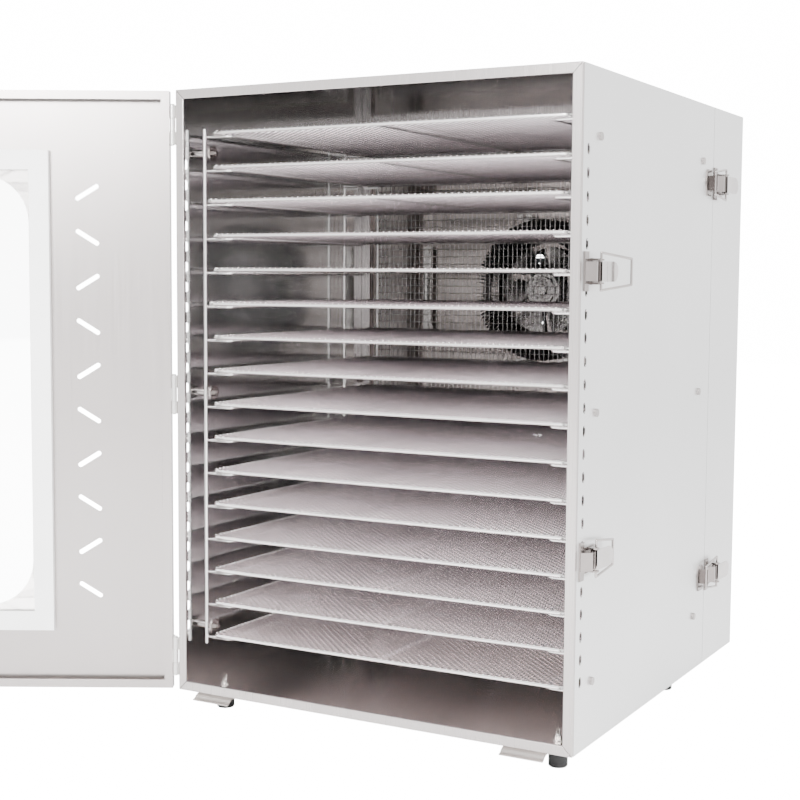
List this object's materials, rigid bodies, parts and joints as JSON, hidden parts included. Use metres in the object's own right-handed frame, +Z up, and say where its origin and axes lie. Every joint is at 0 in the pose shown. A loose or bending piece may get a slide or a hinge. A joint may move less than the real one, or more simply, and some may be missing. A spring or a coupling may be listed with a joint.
{
  "type": "food dehydrator",
  "caption": "Cabinet food dehydrator with stacked sliding wire trays, a side-hung glazed door, draw latches and a rear fan and heater module.",
  "frame": {"origin": "on the ground, at the middle of the rectangle the object covers with its door swung open", "axes": "+X across the cabinet from the hinge side to the latch side, +Y from the front towards the fans, +Z up"},
  "size_m": [0.9094, 0.7508, 0.6906],
  "materials": {
    "panel": "satin",
    "interior": "polished",
    "trim": "bright satin",
    "rack": "polished",
    "fastener": "bright plated",
    "rubber": "matte",
    "guard": "plated wire",
    "motor": "semi-matte",
    "fan": "stamped sheet",
    "heater": "finned, dull",
    "probe": "satin",
    "control": "fine texture",
    "hinge": "satin",
    "door": "satin",
    "glass": "clear",
    "gasket": "white silicone",
    "latch": "polished",
    "tray": "plated wire"
  },
  "bodies": {
    "cabinet": {"side_panel_left": "panel", "side_panel_right": "panel", "top_panel": "panel", "floor_panel": "interior", "front_frame": "trim", "rear_rim": "trim", "rack_left": "rack", "rack_right": "rack", "rack_screws": "fastener", "rubber_feet": "rubber", "foot_bolts": "fastener", "door_rest_lips": "trim", "module_wrap": "panel", "module_cover": "panel", "bulkhead": "interior", "guard_screen": "guard", "fan_motors": "motor", "heater_rings": "heater", "module_fixings": "fastener", "temperature_probe": "probe", "control_box": "control", "switch_bezel": "control", "power_inlet": "control", "hinge_leaves_cabinet": "hinge", "hinge_pins": "hinge", "latch_bases": "latch"},
    "door": {"door_shell": "door", "door_glass": "glass", "door_gasket": "gasket", "hinge_leaves_door": "hinge", "door_keepers": "latch"},
    "tray_01": {"tray_01": "tray"},
    "tray_02": {"tray_02": "tray"},
    "tray_03": {"tray_03": "tray"},
    "tray_04": {"tray_04": "tray"},
    "tray_05": {"tray_05": "tray"},
    "tray_06": {"tray_06": "tray"},
    "tray_07": {"tray_07": "tray"},
    "tray_08": {"tray_08": "tray"},
    "tray_09": {"tray_09": "tray"},
    "tray_10": {"tray_10": "tray"},
    "tray_11": {"tray_11": "tray"},
    "tray_12": {"tray_12": "tray"},
    "tray_13": {"tray_13": "tray"},
    "tray_14": {"tray_14": "tray"},
    "tray_15": {"tray_15": "tray"},
    "tray_16": {"tray_16": "tray"},
    "fan_lower": {"fan_lower": "fan"},
    "fan_upper": {"fan_upper": "fan"},
    "timer_knob": {"timer_knob": "control"},
    "thermostat_knob": {"thermostat_knob": "control"},
    "switch_rocker": {"switch_rocker": "control"},
    "front_lever_lower": {"front_lever_lower": "latch"},
    "front_bail_lower": {"front_bail_lower": "latch"},
    "front_lever_upper": {"front_lever_upper": "latch"},
    "front_bail_upper": {"front_bail_upper": "latch"},
    "rear_levers_right": {"rear_levers_right": "latch"},
    "rear_bails_right": {"rear_bails_right": "latch"},
    "rear_levers_left": {"rear_levers_left": "latch"},
    "rear_bails_left": {"rear_bails_left": "latch"}
  },
  "joints": [
    {"name": "door_hinge", "type": "hinge", "parent": "cabinet", "child": "door", "pos_m": [-0.03643, -0.14556, 0.35], "axis": [0, 0, -1], "range_deg": [-151, 19]},
    {"name": "tray_01_slide", "type": "slide", "parent": "cabinet", "child": "tray_01", "axis": [0, -1, 0], "range_m": [0, 0.35]},
    {"name": "tray_02_slide", "type": "slide", "parent": "cabinet", "child": "tray_02", "axis": [0, -1, 0], "range_m": [0, 0.35]},
    {"name": "tray_03_slide", "type": "slide", "parent": "cabinet", "child": "tray_03", "axis": [0, -1, 0], "range_m": [-0.01, 0.34]},
    {"name": "tray_04_slide", "type": "slide", "parent": "cabinet", "child": "tray_04", "axis": [0, -1, 0], "range_m": [0, 0.35]},
    {"name": "tray_05_slide", "type": "slide", "parent": "cabinet", "child": "tray_05", "axis": [0, -1, 0], "range_m": [0, 0.35]},
    {"name": "tray_06_slide", "type": "slide", "parent": "cabinet", "child": "tray_06", "axis": [0, -1, 0], "range_m": [-0.008, 0.342]},
    {"name": "tray_07_slide", "type": "slide", "parent": "cabinet", "child": "tray_07", "axis": [0, -1, 0], "range_m": [0, 0.35]},
    {"name": "tray_08_slide", "type": "slide", "parent": "cabinet", "child": "tray_08", "axis": [0, -1, 0], "range_m": [0, 0.35]},
    {"name": "tray_09_slide", "type": "slide", "parent": "cabinet", "child": "tray_09", "axis": [0, -1, 0], "range_m": [0, 0.35]},
    {"name": "tray_10_slide", "type": "slide", "parent": "cabinet", "child": "tray_10", "axis": [0, -1, 0], "range_m": [0, 0.35]},
    {"name": "tray_11_slide", "type": "slide", "parent": "cabinet", "child": "tray_11", "axis": [0, -1, 0], "range_m": [0, 0.35]},
    {"name": "tray_12_slide", "type": "slide", "parent": "cabinet", "child": "tray_12", "axis": [0, -1, 0], "range_m": [0, 0.35]},
    {"name": "tray_13_slide", "type": "slide", "parent": "cabinet", "child": "tray_13", "axis": [0, -1, 0], "range_m": [0, 0.35]},
    {"name": "tray_14_slide", "type": "slide", "parent": "cabinet", "child": "tray_14", "axis": [0, -1, 0], "range_m": [0, 0.35]},
    {"name": "tray_15_slide", "type": "slide", "parent": "cabinet", "child": "tray_15", "axis": [0, -1, 0], "range_m": [0, 0.35]},
    {"name": "tray_16_slide", "type": "slide", "parent": "cabinet", "child": "tray_16", "axis": [0, -1, 0], "range_m": [0, 0.35]},
    {"name": "fan_lower_spin", "type": "hinge", "parent": "cabinet", "child": "fan_lower", "pos_m": [0.19917, 0.30294, 0.237], "axis": [0, 1, 0], "continuous": true},
    {"name": "fan_upper_spin", "type": "hinge", "parent": "cabinet", "child": "fan_upper", "pos_m": [0.19917, 0.30294, 0.463], "axis": [0, 1, 0], "continuous": true},
    {"name": "timer_knob_turn", "type": "hinge", "parent": "cabinet", "child": "timer_knob", "pos_m": [0.13717, 0.34794, 0.675], "axis": [0, 0, -1], "range_deg": [0, 300]},
    {"name": "thermostat_knob_turn", "type": "hinge", "parent": "cabinet", "child": "thermostat_knob", "pos_m": [0.26117, 0.34794, 0.675], "axis": [0, 0, -1], "range_deg": [0, 270]},
    {"name": "power_switch_rock", "type": "hinge", "parent": "cabinet", "child": "switch_rocker", "pos_m": [0.19917, 0.34794, 0.673], "axis": [0, 1, 0], "range_deg": [0, 14]},
    {"name": "front_lever_lower_turn", "type": "hinge", "parent": "cabinet", "child": "front_lever_lower", "pos_m": [0.43867, -0.11406, 0.2109], "axis": [0, 0, -1], "range_deg": [0, 120]},
    {"name": "front_bail_lower_swing", "type": "hinge", "parent": "front_lever_lower", "child": "front_bail_lower", "pos_m": [0.43767, -0.10806, 0.2109], "axis": [0, 0, 1], "range_deg": [-179, 0]},
    {"name": "front_lever_upper_turn", "type": "hinge", "parent": "cabinet", "child": "front_lever_upper", "pos_m": [0.43867, -0.11406, 0.4843], "axis": [0, 0, -1], "range_deg": [0, 120]},
    {"name": "front_bail_upper_swing", "type": "hinge", "parent": "front_lever_upper", "child": "front_bail_upper", "pos_m": [0.43767, -0.10806, 0.4843], "axis": [0, 0, 1], "range_deg": [-158, 0]},
    {"name": "rear_levers_right_turn", "type": "hinge", "parent": "cabinet", "child": "rear_levers_right", "pos_m": [0.43867, 0.28024, 0.35], "axis": [0, 0, -1], "range_deg": [0, 120]},
    {"name": "rear_bails_right_swing", "type": "hinge", "parent": "rear_levers_right", "child": "rear_bails_right", "pos_m": [0.43767, 0.28624, 0.35], "axis": [0, 0, 1], "range_deg": [0, 150]},
    {"name": "rear_levers_left_turn", "type": "hinge", "parent": "cabinet", "child": "rear_levers_left", "pos_m": [-0.04033, 0.28024, 0.35], "axis": [0, 0, 1], "range_deg": [0, 120]},
    {"name": "rear_bails_left_swing", "type": "hinge", "parent": "rear_levers_left", "child": "rear_bails_left", "pos_m": [-0.03933, 0.28624, 0.35], "axis": [0, 0, -1], "range_deg": [0, 150]}
  ],
  "couplings": [
    {"joint": "rear_bails_right_swing", "follows": "rear_levers_right_turn", "ratio": 1.25},
    {"joint": "rear_bails_left_swing", "follows": "rear_levers_left_turn", "ratio": 1.25}
  ]
}
